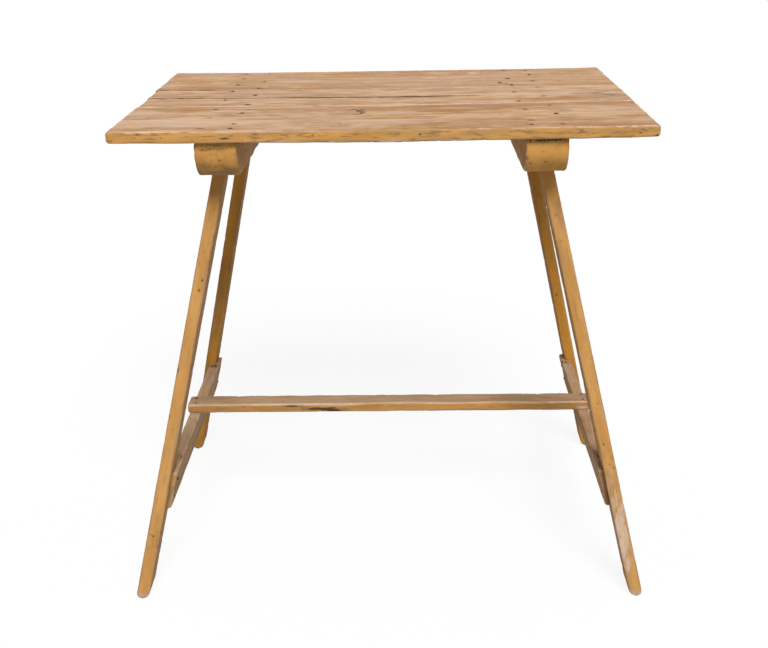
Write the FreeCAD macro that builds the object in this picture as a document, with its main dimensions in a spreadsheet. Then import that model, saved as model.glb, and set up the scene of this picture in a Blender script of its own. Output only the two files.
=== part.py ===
"""A country trestle table: a nailed plank top that lifts off a splayed four-legged base.

The top is five boards nailed down to two cleats with bullnose ends. The base is four legs that
splay sideways and front to back, a cross rail lapped onto each pair, and a long stretcher that
lies on the two rails. Stub tenons on the legs stand in mortises in the cleats.

Millimetres, X along the boards, Y from front to back, Z up, origin on the floor under the middle.
"""
import FreeCAD, Part
import os

SIZES = [
    ("table_height", 770, "floor to the upper face of the boards"),
    ("top_length", 800, "longest board, end to end"),
    ("top_depth", 600, "front edge of the first board to the back edge of the last"),
    ("first_board_trim", 3, "front board's left end, in from the end of the top"),
    ("second_board_trim", 7, "second board's left end, in from the end of the top"),
    ("third_board_trim", 5, "third board's left end, in from the end of the top"),
    ("fourth_board_trim", 2, "fourth board's left end, in from the end of the top"),
    ("fifth_board_trim", 1, "back board's left end, in from the end of the top"),
    ("board_thick", 17.5, "thickness of every board"),
    ("board_gap", 0.8, "open joint between two boards"),
    ("second_board_width", 80, "board behind the front board, which takes what the others leave"),
    ("third_board_width", 87, "middle board"),
    ("fourth_board_width", 124, "board before the back board"),
    ("fifth_board_width", 92, "back board"),
    ("cleat_span", 481, "between the middles of the two cleats"),
    ("cleat_width", 62, "cleat, side to side"),
    ("cleat_height", 57, "cleat, top to bottom"),
    ("cleat_setback", 10, "cleat's end, back from the edge of the top"),
    ("nose_radius", 44, "bullnose under each end of a cleat"),
    ("arris_radius", 5, "rounded long lower edges of a cleat"),
    ("leg_width", 21, "leg, side to side"),
    ("leg_depth", 52, "leg, front to back"),
    ("leg_offset", 9, "leg's top, outwards from the middle of its cleat"),
    ("leg_top_gauge", 340, "between front and back legs under the cleat, middle to middle"),
    ("foot_span", 811, "between left and right feet, middle to middle"),
    ("foot_gauge", 566, "between front and back feet, middle to middle"),
    ("tenon_width", 15, "stub tenon, side to side"),
    ("tenon_depth", 32, "stub tenon, front to back"),
    ("tenon_height", 36, "stub tenon above the leg's shoulder"),
    ("tenon_clearance", 0.4, "mortise wall to tenon, on each side"),
    ("rail_top", 206, "floor to the rails' top edges"),
    ("rail_height", 65, "cross rail, top to bottom"),
    ("rail_thick", 20, "cross rail, side to side"),
    ("tongue_thick", 8, "what is left of a rail where it laps a leg"),
    ("rail_setback", 20, "rail's end, back from the leg's outer face at the rail's mid height"),
    ("stretcher_overhang", 3, "stretcher's end past the outer side of a rail's top"),
    ("stretcher_width", 41, "long stretcher, front to back"),
    ("stretcher_thick", 16, "long stretcher, top to bottom"),
    ("head_size", 6, "side of a nail's square head"),
    ("head_thick", 2, "thickness of a nail's head"),
    ("shank_size", 3, "side of a nail's square shank"),
    ("top_nail_length", 46, "nails of the top, under the face of the boards"),
    ("top_nail_pitch", 43, "between the two columns of nails in a cleat"),
    ("rail_nail_reach", 17, "rail nails, how far they go into the leg"),
    ("rail_nail_edge", 17, "rail nails, from the rail's top and bottom"),
    ("rail_nail_inset", 10, "rail nails, from the middle of the leg towards the table's middle"),
    ("stretcher_nail_length", 42, "nails at the ends of the stretcher"),
    ("stretcher_nail_pitch", 22, "between the two nails of one end, front to back"),
]

# Nails of each board in the two columns over a cleat, as shares of its width from its front edge
BOARDS = {
    "first_board": {"inner": (0.11, 0.27, 0.7), "outer": (0.11, 0.51, 0.88)},
    "second_board": {"inner": (0.2,), "outer": (0.79,)},
    "third_board": {"inner": (0.33,), "outer": (0.86,)},
    "fourth_board": {"inner": (0.16, 0.77), "outer": (0.5,)},
    "fifth_board": {"inner": (0.86,), "outer": (0.15, 0.78)},
}
COLUMNS = {"inner": -1, "outer": 1}
SIDES = {"left": -1, "right": 1}
ROWS = {"front": -1, "back": 1}
SAME_PLACE = 0.01

NARROW_WIDTHS = [f"Sizes.{board}_width" for board in list(BOARDS)[1:]]
FIRST_WIDTH = "(Sizes.top_depth" + "".join(f" - {width} - Sizes.board_gap" for width in NARROW_WIDTHS) + ")"
WIDTHS = [FIRST_WIDTH, *NARROW_WIDTHS]
UNDERSIDE = "(Sizes.table_height - Sizes.board_thick)"
SHOULDER = f"({UNDERSIDE} - Sizes.cleat_height)"
CLEAT_X = "(Sizes.cleat_span / 2)"
CLEAT_LENGTH = "(Sizes.top_depth - 2 * Sizes.cleat_setback)"
LEG_TOP_X = f"({CLEAT_X} + Sizes.leg_offset)"
LEG_TOP_Y = "(Sizes.leg_top_gauge / 2)"
LEAN_X = f"((Sizes.foot_span / 2 - {LEG_TOP_X}) / {SHOULDER})"
LEAN_Y = f"((Sizes.foot_gauge / 2 - {LEG_TOP_Y}) / {SHOULDER})"
RAIL_FOOT = "(Sizes.rail_top - Sizes.rail_height)"

doc = FreeCAD.newDocument("TrestleTable")
parts = []


def make_sheet():
    """Write the driving dimensions to a spreadsheet, one named cell each."""
    sheet = doc.addObject("Spreadsheet::Sheet", "Sizes")
    for row, (alias, value, meaning) in enumerate(SIZES, start=1):
        sheet.set(f"A{row}", alias)
        sheet.set(f"B{row}", str(value))
        sheet.set(f"C{row}", meaning)
        sheet.setAlias(f"B{row}", alias)
    doc.recompute()


def bind(obj, **expressions):
    """Bind properties of an object to expressions; x, y and z stand for its place."""
    for name, expression in expressions.items():
        path = f".Placement.Base.{name}" if name in ("x", "y", "z") else name
        obj.setExpression(path, expression)
    return obj


def block(name, centre_x, centre_y, low_z, length, width, height):
    """A box centred in X and Y on a place, standing on low_z."""
    box = doc.addObject("Part::Box", name)
    return bind(box, Length=length, Width=width, Height=height,
                x=f"{centre_x} - {length} / 2", y=f"{centre_y} - {width} / 2", z=low_z)


def slanted(name, low_x, low_y, low_z, length, width, run_x, run_y, rise):
    """A level rectangle pushed up along a slant, so that every face is flat."""
    section = doc.addObject("Part::Plane", f"{name}_section")
    bind(section, Length=length, Width=width, x=low_x, y=low_y, z=low_z)
    prism = doc.addObject("Part::Extrusion", name)
    prism.Base = section
    prism.DirMode = "Custom"
    prism.Solid = True
    for axis, run in (("x", run_x), ("y", run_y), ("z", rise)):
        prism.setExpression(f"Dir.{axis}", run)
    return prism


def group(name, members):
    """Several separate solids as one object."""
    compound = doc.addObject("Part::Compound", name)
    compound.Links = members
    return compound


def joined(name, base, tool):
    """Two touching solids as one."""
    fuse = doc.addObject("Part::Fuse", name)
    fuse.Base, fuse.Tool = base, tool
    fuse.Refine = True
    return fuse


def cut(name, base, tool):
    """A solid with others taken out of it."""
    result = doc.addObject("Part::Cut", name)
    result.Base, result.Tool = base, tool
    return result


def trimmed(name, base, limit):
    """What a solid shares with another."""
    result = doc.addObject("Part::Common", name)
    result.Base, result.Tool = base, limit
    return result


def keep(obj, label):
    """Label an object as a finished piece of the table."""
    obj.Label = label
    parts.append(obj)
    return obj


def upright_nail(name, x, y, face_z, length):
    """A square nail driven down through a level face, its head flush with that face."""
    head = block(f"{name}_head", x, y, f"{face_z} - Sizes.head_thick",
                 "Sizes.head_size", "Sizes.head_size", "Sizes.head_thick")
    shank = block(f"{name}_shank", x, y, f"{face_z} - {length}",
                  "Sizes.shank_size", "Sizes.shank_size", f"({length} - Sizes.head_thick)")
    return joined(name, head, shank)


def board_front(index):
    """Where the front edge of a board lies in Y."""
    ahead = "".join(f" + {width} + Sizes.board_gap" for width in WIDTHS[:index])
    return f"(-Sizes.top_depth / 2{ahead})"


def make_top_nails():
    """The nails of each board, in two columns over each cleat; also those of each cleat."""
    by_board, by_cleat = {}, {side: [] for side in SIDES}
    for index, (board, columns) in enumerate(BOARDS.items()):
        nails = []
        for column, shares in columns.items():
            for share in shares:
                y = f"({board_front(index)} + {share} * {WIDTHS[index]})"
                for side, sx in SIDES.items():
                    x = f"{sx} * ({CLEAT_X} + {COLUMNS[column]} * Sizes.top_nail_pitch / 2)"
                    name = f"{board}_nail_{len(nails)}"
                    nails.append(upright_nail(name, x, y, "Sizes.table_height", "Sizes.top_nail_length"))
                    by_cleat[side].append(nails[-1])
        by_board[board] = keep(group(f"{board}_nail_set", nails), f"{board}_nails")
    return by_board, by_cleat


def make_boards(nails):
    """The five boards of the top, edge to edge from front to back."""
    for index, board in enumerate(BOARDS):
        trim = f"Sizes.{board}_trim"
        plank = doc.addObject("Part::Box", f"{board}_plank")
        bind(plank, Length=f"Sizes.top_length - {trim}", Width=WIDTHS[index], Height="Sizes.board_thick",
             x=f"-Sizes.top_length / 2 + {trim}", y=board_front(index), z=UNDERSIDE)
        keep(cut(f"{board}_piece", plank, nails[board]), board)


def edges_where(feature, test):
    """Names of the edges of a feature whose middle passes a test."""
    return [f"Edge{number}" for number, edge in enumerate(feature.Shape.Edges, start=1)
            if test(edge.CenterOfMass, feature.Shape.BoundBox)]


def is_lower_end(middle, box):
    """True on the two lower edges that run across the ends of a cleat."""
    at_end = min(abs(middle.y - box.YMin), abs(middle.y - box.YMax)) < SAME_PLACE
    return at_end and abs(middle.z - box.ZMin) < SAME_PLACE


def is_lower_side(middle, box):
    """True on the two long lower edges of a cleat, between its noses."""
    at_side = min(abs(middle.x - box.XMin), abs(middle.x - box.XMax)) < SAME_PLACE
    return at_side and abs(middle.z - box.ZMin) < SAME_PLACE


def make_cleats(nails):
    """The two cleats: bullnose ends, softened lower edges, mortises and nail holes."""
    for side, sx in SIDES.items():
        body = doc.addObject("PartDesign::Body", f"{side}_cleat_body")
        bar = body.newObject("PartDesign::AdditiveBox", f"{side}_cleat_bar")
        bind(bar, Length="Sizes.cleat_width", Width=CLEAT_LENGTH, Height="Sizes.cleat_height")
        bind(body, x=f"{sx} * {CLEAT_X} - Sizes.cleat_width / 2", y=f"-{CLEAT_LENGTH} / 2", z=SHOULDER)
        doc.recompute()
        nose = body.newObject("PartDesign::Fillet", f"{side}_cleat_nose")
        nose.Base = (bar, edges_where(bar, is_lower_end))
        nose.setExpression("Radius", "Sizes.nose_radius")
        doc.recompute()
        arris = body.newObject("PartDesign::Fillet", f"{side}_cleat_arris")
        arris.Base = (nose, edges_where(nose, is_lower_side))
        arris.setExpression("Radius", "Sizes.arris_radius")
        mortises = [block(f"{side}_{row}_mortise", f"{sx} * {LEG_TOP_X}", f"{sy} * {LEG_TOP_Y}", SHOULDER,
                          "(Sizes.tenon_width + 2 * Sizes.tenon_clearance)",
                          "(Sizes.tenon_depth + 2 * Sizes.tenon_clearance)",
                          "(Sizes.tenon_height + Sizes.tenon_clearance)") for row, sy in ROWS.items()]
        holes = group(f"{side}_cleat_holes", mortises + nails[side])
        keep(cut(f"{side}_cleat_piece", body, holes), f"{side}_cleat")


def leg_x(height):
    """Distance of a leg's middle from the table's middle at a height."""
    return f"(Sizes.foot_span / 2 - {LEAN_X} * {height})"


def leg_y(height):
    """Distance of a leg's middle from the table's middle, front to back, at a height."""
    return f"(Sizes.foot_gauge / 2 - {LEAN_Y} * {height})"


def make_leg_blank(name, sx, sy):
    """A leg from the floor to its shoulder, before its tenon and its nail holes."""
    return slanted(name, f"{sx} * Sizes.foot_span / 2 - Sizes.leg_width / 2",
                   f"{sy} * Sizes.foot_gauge / 2 - Sizes.leg_depth / 2", "0",
                   "Sizes.leg_width", "Sizes.leg_depth",
                   f"{-sx} * {LEAN_X} * {SHOULDER}", f"{-sy} * {LEAN_Y} * {SHOULDER}", SHOULDER)


def make_rail_blank(side, sx):
    """A cross rail that leans with its legs, before it is lapped round them."""
    inner = f"({leg_x(RAIL_FOOT)} - Sizes.leg_width / 2 - Sizes.tongue_thick)"
    low_x = inner if sx > 0 else f"-{inner} - Sizes.rail_thick"
    middle = "(Sizes.rail_top - Sizes.rail_height / 2)"
    length = f"(2 * {leg_y(middle)} + Sizes.leg_depth - 2 * Sizes.rail_setback)"
    return slanted(f"{side}_rail_blank", low_x, f"-{length} / 2", RAIL_FOOT, "Sizes.rail_thick", length,
                   f"{-sx} * {LEAN_X} * Sizes.rail_height", "0", "Sizes.rail_height")


def make_rail_nails(name, sx, sy, rail, leg):
    """Two nails through a rail's tongue into a leg, their heads dressed flush with the rail."""
    nails = []
    for number, height in enumerate(("(Sizes.rail_top - Sizes.rail_nail_edge)",
                                     f"({RAIL_FOOT} + Sizes.rail_nail_edge)")):
        face = f"({leg_x(height)} - Sizes.leg_width / 2 - Sizes.tongue_thick)"
        slack = f"({LEAN_X} * Sizes.head_size)"
        y = f"{sy} * ({leg_y(height)} - Sizes.rail_nail_inset)"
        low_z = f"{height} - Sizes.{{}} / 2"
        head = block(f"{name}_{number}_head", f"{sx} * {face}", y, low_z.format("head_size"),
                     f"(2 * Sizes.head_thick + {slack})", "Sizes.head_size", "Sizes.head_size")
        reach = "(Sizes.tongue_thick + Sizes.rail_nail_reach)"
        shank = block(f"{name}_{number}_shank", f"{sx} * ({face} + {reach} / 2)", y,
                      low_z.format("shank_size"), reach, "Sizes.shank_size", "Sizes.shank_size")
        nails.append(joined(f"{name}_{number}", head, shank))
    wood = joined(f"{name}_wood", rail, leg)
    return trimmed(f"{name}_pair", group(f"{name}_blanks", nails), wood)


def make_stretcher_nails(side, sx):
    """Two nails at one end of the long stretcher, down into the rail."""
    middle = f"({leg_x('Sizes.rail_top')} - Sizes.leg_width / 2 - Sizes.tongue_thick + Sizes.rail_thick / 2)"
    face = "(Sizes.rail_top + Sizes.stretcher_thick)"
    return [upright_nail(f"{side}_stretcher_nail_{row}", f"{sx} * {middle}",
                         f"{sy} * Sizes.stretcher_nail_pitch / 2", face, "Sizes.stretcher_nail_length")
            for row, sy in ROWS.items()]


def make_base():
    """Legs, rails and stretcher, with the nails that hold them together."""
    end_nails = []
    for side, sx in SIDES.items():
        rail = make_rail_blank(side, sx)
        legs = {row: make_leg_blank(f"{row}_{side}_leg_blank", sx, sy) for row, sy in ROWS.items()}
        pairs = {}
        for row, sy in ROWS.items():
            name = f"{row}_{side}_rail_nails"
            pairs[row] = keep(make_rail_nails(name, sx, sy, rail, legs[row]), name)
            tenon = block(f"{row}_{side}_tenon", f"{sx} * {LEG_TOP_X}", f"{sy} * {LEG_TOP_Y}", SHOULDER,
                          "Sizes.tenon_width", "Sizes.tenon_depth", "Sizes.tenon_height")
            whole = joined(f"{row}_{side}_leg_whole", legs[row], tenon)
            keep(cut(f"{row}_{side}_leg_piece", whole, pairs[row]), f"{row}_{side}_leg")
        nails = make_stretcher_nails(side, sx)
        end_nails += nails
        keep(group(f"{side}_stretcher_nail_set", nails), f"{side}_stretcher_nails")
        taken = group(f"{side}_rail_cuts", list(legs.values()) + list(pairs.values()) + nails)
        keep(cut(f"{side}_rail_piece", rail, taken), f"{side}_cross_rail")
    outer = f"({leg_x('Sizes.rail_top')} - Sizes.leg_width / 2 - Sizes.tongue_thick + Sizes.rail_thick)"
    plank = block("stretcher_plank", "0", "0", "Sizes.rail_top",
                  f"(2 * {outer} + 2 * Sizes.stretcher_overhang)", "Sizes.stretcher_width",
                  "Sizes.stretcher_thick")
    keep(cut("stretcher_piece", plank, group("stretcher_holes", end_nails)), "long_stretcher")


def check_and_write():
    """Stop on a failed object or shape, then write each piece to its own file."""
    doc.recompute()
    for obj in doc.Objects:
        if "Invalid" in obj.State or "Error" in obj.State:
            raise RuntimeError(f"{obj.Name} failed: {obj.State}")
    for piece in parts:
        if piece.Shape.isNull() or not piece.Shape.isValid() or not piece.Shape.Solids:
            raise RuntimeError(f"{piece.Label} has no valid solid")
    os.makedirs("parts", exist_ok=True)
    for piece in parts:
        piece.Shape.exportStep(os.path.join("parts", f"{piece.Label}.step"))
        print(f"{piece.Label}: {len(piece.Shape.Solids)} solids, {piece.Shape.Volume:.0f} mm3")


make_sheet()
board_nails, cleat_nails = make_top_nails()
make_boards(board_nails)
make_cleats(cleat_nails)
make_base()
check_and_write()
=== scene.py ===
"""Looks of the trestle table: a scrubbed pine plank top on ochre-painted cleats, legs and rails.

Every piece of wood is one timber: a rounded section carried along its own line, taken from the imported
frame, with worn arrises and the attributes that its finish reads. The nails come from one node tree.
Metres, X along the boards, Y from front to back, Z up. Spots of wear are listed in millimetres.
"""
import logging
import math
from dataclasses import dataclass, field, replace
from enum import Enum, IntEnum
from typing import Any, Callable

import bmesh
import bpy
import numpy as np
from mathutils import Matrix, Vector


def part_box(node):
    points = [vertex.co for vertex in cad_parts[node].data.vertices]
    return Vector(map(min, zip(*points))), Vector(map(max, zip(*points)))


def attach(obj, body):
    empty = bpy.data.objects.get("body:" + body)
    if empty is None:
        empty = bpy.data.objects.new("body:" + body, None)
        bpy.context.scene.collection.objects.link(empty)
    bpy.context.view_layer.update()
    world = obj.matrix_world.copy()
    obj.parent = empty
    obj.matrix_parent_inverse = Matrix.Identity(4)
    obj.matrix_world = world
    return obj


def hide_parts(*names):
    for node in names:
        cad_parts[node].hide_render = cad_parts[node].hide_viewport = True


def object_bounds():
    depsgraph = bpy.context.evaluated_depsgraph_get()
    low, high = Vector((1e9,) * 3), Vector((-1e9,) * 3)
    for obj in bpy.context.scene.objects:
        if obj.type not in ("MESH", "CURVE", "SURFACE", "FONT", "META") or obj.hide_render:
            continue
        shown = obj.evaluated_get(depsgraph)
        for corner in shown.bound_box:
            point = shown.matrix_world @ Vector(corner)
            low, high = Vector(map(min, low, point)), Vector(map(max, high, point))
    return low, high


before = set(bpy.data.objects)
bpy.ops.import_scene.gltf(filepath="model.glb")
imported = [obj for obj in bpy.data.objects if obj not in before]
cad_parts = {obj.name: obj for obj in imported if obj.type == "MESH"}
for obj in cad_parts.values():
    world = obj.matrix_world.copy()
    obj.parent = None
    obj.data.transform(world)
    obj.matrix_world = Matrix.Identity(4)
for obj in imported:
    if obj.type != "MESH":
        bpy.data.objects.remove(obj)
CAD_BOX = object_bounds()

log = logging.getLogger("trestle_table")
Triple = tuple[float, float, float]
Colour = Triple
Spots = tuple[tuple[float, float, float, float, float], ...]
Points = np.ndarray
Mesh, Material = bpy.types.Mesh, bpy.types.Material

PHOTO_WIDTH = 768
MM = 0.001
# Points count as level within a hair
HAIR = 0.0006
ABOVE_ALL = 9.0
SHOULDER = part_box("left_cleat")[0].z
BOARDS = ("first_board", "second_board", "third_board", "fourth_board", "fifth_board")
SIDES = (("left", -1), ("right", 1))
ROWS = (("front", -1), ("back", 1))
X, Y, Z = (1, 0, 0), (0, 1, 0), (0, 0, 1)


class Face(Enum):
    """A face of a timber, by its own directions: along, across and up."""

    START = 0
    END = 1
    NEAR = 2
    FAR = 3
    UNDER = 4
    OVER = 5


class Line(Enum):
    """Marks that the finishes read from a mesh, one value or vector for each point."""

    GRAIN = "grain"
    KNOT = "knot"
    EDGE = "edge"
    PAINT = "paint"
    # Stain and dull marks carry dirt and also painted shade.
    STAIN = "stain"
    RUB = "rub"
    TONE = "tone"
    DULL = "dull"


class Seed(IntEnum):
    """Where the random draws of each kind of piece start."""

    BOARDS = 3
    NAILS = 7
    NAIL_DIRT = 11
    CLEATS = 20
    LEGS = 40
    TENONS = 60
    RAILS = 80
    STRETCHER = 90


class Weave(Enum):
    """A noise by its rate along and across the grain, its detail and its distortion."""

    BANDS = (1.4, 15.0, 4.0, 0.6)
    SMUDGE = (10.0, 40.0, 3.5, 0.9)
    STREAKS = (4.5, 130.0, 4.0, 0.3)
    FIBRE = (24.0, 620.0, 2.0, 0.0)
    PATCHES = (3.5, 10.0, 3.0, 0.0)
    MOTTLE = (38.0, 120.0, 4.0, 0.6)
    HUE = (6.0, 26.0, 4.0, 0.5)
    WILD = (75.0, 50.0, 3.0, 0.0)
    BRUSH = (11.0, 48.0, 4.0, 0.0)
    CLOUD = (8.0, 34.0, 5.0, 0.4)
    SMEARS = (48.0, 280.0, 5.0, 0.7)
    SCUFF = (24.0, 190.0, 5.0, 0.4)
    DRIFT = (7.0, 45.0, 4.0, 0.0)
    GRIT = (110.0, 320.0, 3.0, 0.0)
    STROKES = (48.0, 400.0, 4.0, 0.5)
    RAGGED = (70.0, 170.0, 4.0, 0.4)
    SPECKS = (95.0, 330.0, 2.0, 0.0)
    SCRATCHES = (15.0, 210.0, 2.0, 0.0)
    SCRATCHED = (6.0, 26.0, 3.0, 0.0)
    RUST = (420.0, 420.0, 3.0, 0.0)
    HEADS = (23.0, 23.0, 1.0, 0.0)


# Shader graphs


class Wire:
    """A shader socket that takes part in sums, so that maths reads as Python."""

    def __init__(self, graph: "Graph", socket: bpy.types.NodeSocket) -> None:
        """Keep a socket and the graph that it belongs to."""
        self.graph, self.socket = graph, socket

    def _sum(self, operation: str, first: Any, second: Any) -> "Wire":
        """Add a Math node on two values."""
        return self.graph.add("ShaderNodeMath", {"operation": operation}, {0: first, 1: second})

    def __add__(self, other: Any) -> "Wire":
        """This plus another value."""
        return self._sum("ADD", self, other)

    def __sub__(self, other: Any) -> "Wire":
        """This less another value."""
        return self._sum("SUBTRACT", self, other)

    def __rsub__(self, other: Any) -> "Wire":
        """Another value less this."""
        return self._sum("SUBTRACT", other, self)

    def __mul__(self, other: Any) -> "Wire":
        """This times another value."""
        return self._sum("MULTIPLY", self, other)

    def __truediv__(self, other: Any) -> "Wire":
        """This divided by another value."""
        return self._sum("DIVIDE", self, other)

    def __pow__(self, other: Any) -> "Wire":
        """This to the power of another value."""
        return self._sum("POWER", self, other)

    __radd__ = __add__
    __rmul__ = __mul__

    def larger(self, other: Any) -> "Wire":
        """The larger of this and another value."""
        return self._sum("MAXIMUM", self, other)

    def step(self, low: float, high: float) -> "Wire":
        """A smooth step from 0 at low to 1 at high."""
        return self.graph.add("ShaderNodeMapRange", {"interpolation_type": "SMOOTHSTEP"},
                              {"Value": self, "From Min": low, "From Max": high})


class Graph:
    """A node tree with short ways to add to it."""

    def __init__(self, tree: bpy.types.NodeTree) -> None:
        """Clear a tree and keep it."""
        self.tree = tree
        tree.nodes.clear()

    def add(self, kind: str, settings: dict[str, Any] | None = None, inputs: dict[Any, Any] | None = None,
            output: int | str = 0) -> Wire:
        """Add a node.

        Args:
            kind: The node's type.
            settings: Its own settings, set first.
            inputs: Values or wires of its sockets, by name or place.
            output: The socket to hand back.

        Returns:
            The chosen output.
        """
        node = self.tree.nodes.new(kind)
        for name, value in (settings or {}).items():
            setattr(node, name, value)
        for key, value in (inputs or {}).items():
            if isinstance(value, Wire):
                self.tree.links.new(value.socket, node.inputs[key])
            else:
                node.inputs[key].default_value = value
        return Wire(self, node.outputs[output])

    def mark(self, line: Line, output: str = "Fac") -> Wire:
        """Read one of the marks that a timber carries."""
        return self.add("ShaderNodeAttribute", {"attribute_name": line.value}, output=output)

    def noises(self, vector: Wire, *weaves: Weave) -> list[Wire]:
        """Noises between 0 and 1.

        Args:
            vector: Place in the timber, along, across and up.
            weaves: What each noise is like.

        Returns:
            One wire for each weave.
        """
        made = []
        for along, across, detail, distortion in (weave.value for weave in weaves):
            place = self.add("ShaderNodeVectorMath", {"operation": "MULTIPLY"},
                             {0: vector, 1: (along, across, across)})
            made.append(self.add("ShaderNodeTexNoise", None, {
                "Vector": place, "Scale": 1.0, "Detail": detail, "Distortion": distortion}))
        return made

    def mix(self, factor: Any, first: Any, second: Any, blend: str = "MIX") -> Wire:
        """Lay a second colour over a first one by a factor, where each is a colour or a wire."""
        whole = [c if isinstance(c, Wire) else (*c, 1.0) for c in (first, second)]
        return self.add("ShaderNodeMix", {"data_type": "RGBA", "blend_type": blend},
                        {0: factor, 6: whole[0], 7: whole[1]}, output=2)

    def close(self, kind: str, result: Wire, socket: str = "Surface") -> None:
        """Add the tree's output node and link the result to it."""
        end = self.tree.nodes.new(kind)
        self.tree.links.new(result.socket, end.inputs[socket])

    def surface(self, inputs: dict[str, Any]) -> None:
        """Close a material's tree with a Principled shader."""
        self.close("ShaderNodeOutputMaterial", self.add("ShaderNodeBsdfPrincipled", None, inputs))


def new_material(name: str) -> tuple[Material, Graph]:
    """A new material and its empty graph."""
    made = bpy.data.materials.new(name)
    made.use_nodes = True
    return made, Graph(made.node_tree)


# Finishes


@dataclass(frozen=True)
class TimberFinish:
    """Old pine, bare or under worn ochre paint, whichever the mesh's marks say."""

    name: str
    pale: Colour
    deep: Colour
    grey: Colour
    scrubbed: Colour = (0.70, 0.50, 0.37)
    brown: Colour = (0.42, 0.215, 0.085)
    honey: Colour = (1.0, 0.94, 0.72)
    grey_share: float = 0.6
    paint: Colour = (0.60, 0.305, 0.088)
    paint_shade: Colour = (0.48, 0.235, 0.062)
    wash: Colour = (0.29, 0.175, 0.078)
    wash_share: float = 0.55
    smudge: Colour = (0.21, 0.13, 0.068)
    smear: float = 0.3
    # Dark dirt colour, also used for painted shadow lines and painted shade.
    soil: Colour = (0.060, 0.040, 0.024)
    speck: float = 0.5
    arris_wear: float = 0.0026
    chipped: Colour = (0.84, 0.66, 0.53)
    chip_share: float = 0.3
    rub_level: float = 0.70
    rub_blur: float = 0.07
    relief: float = 0.001
    gloss: float = 0.08

    def material(self) -> Material:
        """Build the material.

        Returns:
            A new material with this finish.
        """
        made, g = new_material(self.name)
        grain = g.mark(Line.GRAIN, "Vector")
        wood, fibre = self._wood(g, grain)
        painted, film = self._paint_cover(g, grain)
        colour = g.mix(painted, wood, self._coat(g, grain))
        soil = self._soil(g, grain)
        colour = g.mix(soil, colour, self.soil)
        rough = 0.74 - painted * 0.12 + (fibre - 0.5) * 0.14 + soil * 0.1
        height = fibre * (1.0 - painted * 0.75) * 0.4 + film * 0.6 - soil * 0.4
        bump = g.add("ShaderNodeBump", None, {"Strength": 0.6, "Distance": self.relief, "Height": height})
        g.surface({"Base Color": colour, "Roughness": rough, "Normal": bump,
                   "Specular IOR Level": self.gloss})
        return made

    def _wood(self, g: Graph, grain: Wire) -> tuple[Wire, Wire]:
        """Colour of the bare wood and its fine fibres.

        Args:
            g: The material's graph.
            grain: Place in the timber, along, across and up.

        Returns:
            The colour, and the fibres between 0 and 1.
        """
        knot = g.add("ShaderNodeSeparateXYZ", None, {0: g.mark(Line.KNOT, "Vector")})
        along, across, size = (Wire(g, knot.socket.node.outputs[i]) for i in range(3))
        far = (along ** 2.0 + across ** 2.0) ** 0.5
        near = 1.0 - far.step(0.2, 3.0)
        bend = g.add("ShaderNodeCombineXYZ", None, {1: across * size * near * -0.75})
        bent = g.add("ShaderNodeVectorMath", {"operation": "ADD"}, {0: grain, 1: bend})
        bands, smudge, streaks, fibre, mottle = g.noises(
            bent, Weave.BANDS, Weave.SMUDGE, Weave.STREAKS, Weave.FIBRE, Weave.MOTTLE)
        patches, hue, wild = g.noises(grain, Weave.PATCHES, Weave.HUE, Weave.WILD)
        flow = bands * 0.30 + smudge * 0.34 + streaks * 0.14 + mottle * 0.22
        wood = g.mix(flow.step(0.39, 0.61), self.pale, self.deep)
        tone = g.mark(Line.TONE)
        wander = (smudge * 0.7 + mottle * 0.3 - 0.5) * 2.2
        wood = g.mix((tone + wander).step(0.15, 0.85) * 0.85, wood, self.scrubbed)
        wood = g.mix((wander - tone).step(0.15, 0.85) * 0.85, wood, self.brown)
        dull = g.mark(Line.DULL) + (patches * 0.6 + streaks * 0.4 - 0.5) * 2.6
        wood = g.mix(dull.step(0.05, 0.75) * self.grey_share, wood, self.grey)
        wood = g.mix(fibre.step(0.3, 0.75) * 0.24, wood, self.deep, "MULTIPLY")
        wood = g.mix(hue.step(0.50, 0.66) * 0.85, wood, self.honey, "MULTIPLY")
        lip = (1.0 - g.mark(Line.EDGE).step(0.0008, 0.0026)) * mottle.step(0.47, 0.56)
        wood = g.mix(lip * self.chip_share, wood, self.chipped)
        ragged = far + (wild - 0.5) * 1.7
        heart = 1.0 - ragged.step(0.7, 1.2)
        hollow = ((along + 0.35) ** 2.0 + across ** 2.0) ** 0.5 + (wild - 0.5) * 1.5
        rim = hollow.step(0.72, 0.95) * (1.0 - ragged.step(0.98, 1.24))
        wood = g.mix(heart * 0.35, wood, self.grey)
        wood = g.mix(rim * (streaks * 0.5 + wild * 0.5).step(0.37, 0.47) * 0.72, wood, self.soil)
        return wood, fibre

    def _coat(self, g: Graph, grain: Wire) -> Wire:
        """Colour of the paint, with its brush drift and a thin wash of old dirt, which the dull marks also
        use for painted shade.
        """
        brush, cloud, smears = g.noises(grain, Weave.BRUSH, Weave.CLOUD, Weave.SMEARS)
        coat = g.mix(brush.step(0.36, 0.68), self.paint, self.paint_shade)
        dull = g.mark(Line.DULL)
        coat = g.mix((cloud + dull * 0.12).step(0.48, 0.74) * self.wash_share, coat, self.wash)
        return g.mix((smears + dull * 0.06).step(0.53, 0.69) * self.smear, coat, self.smudge)

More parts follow.
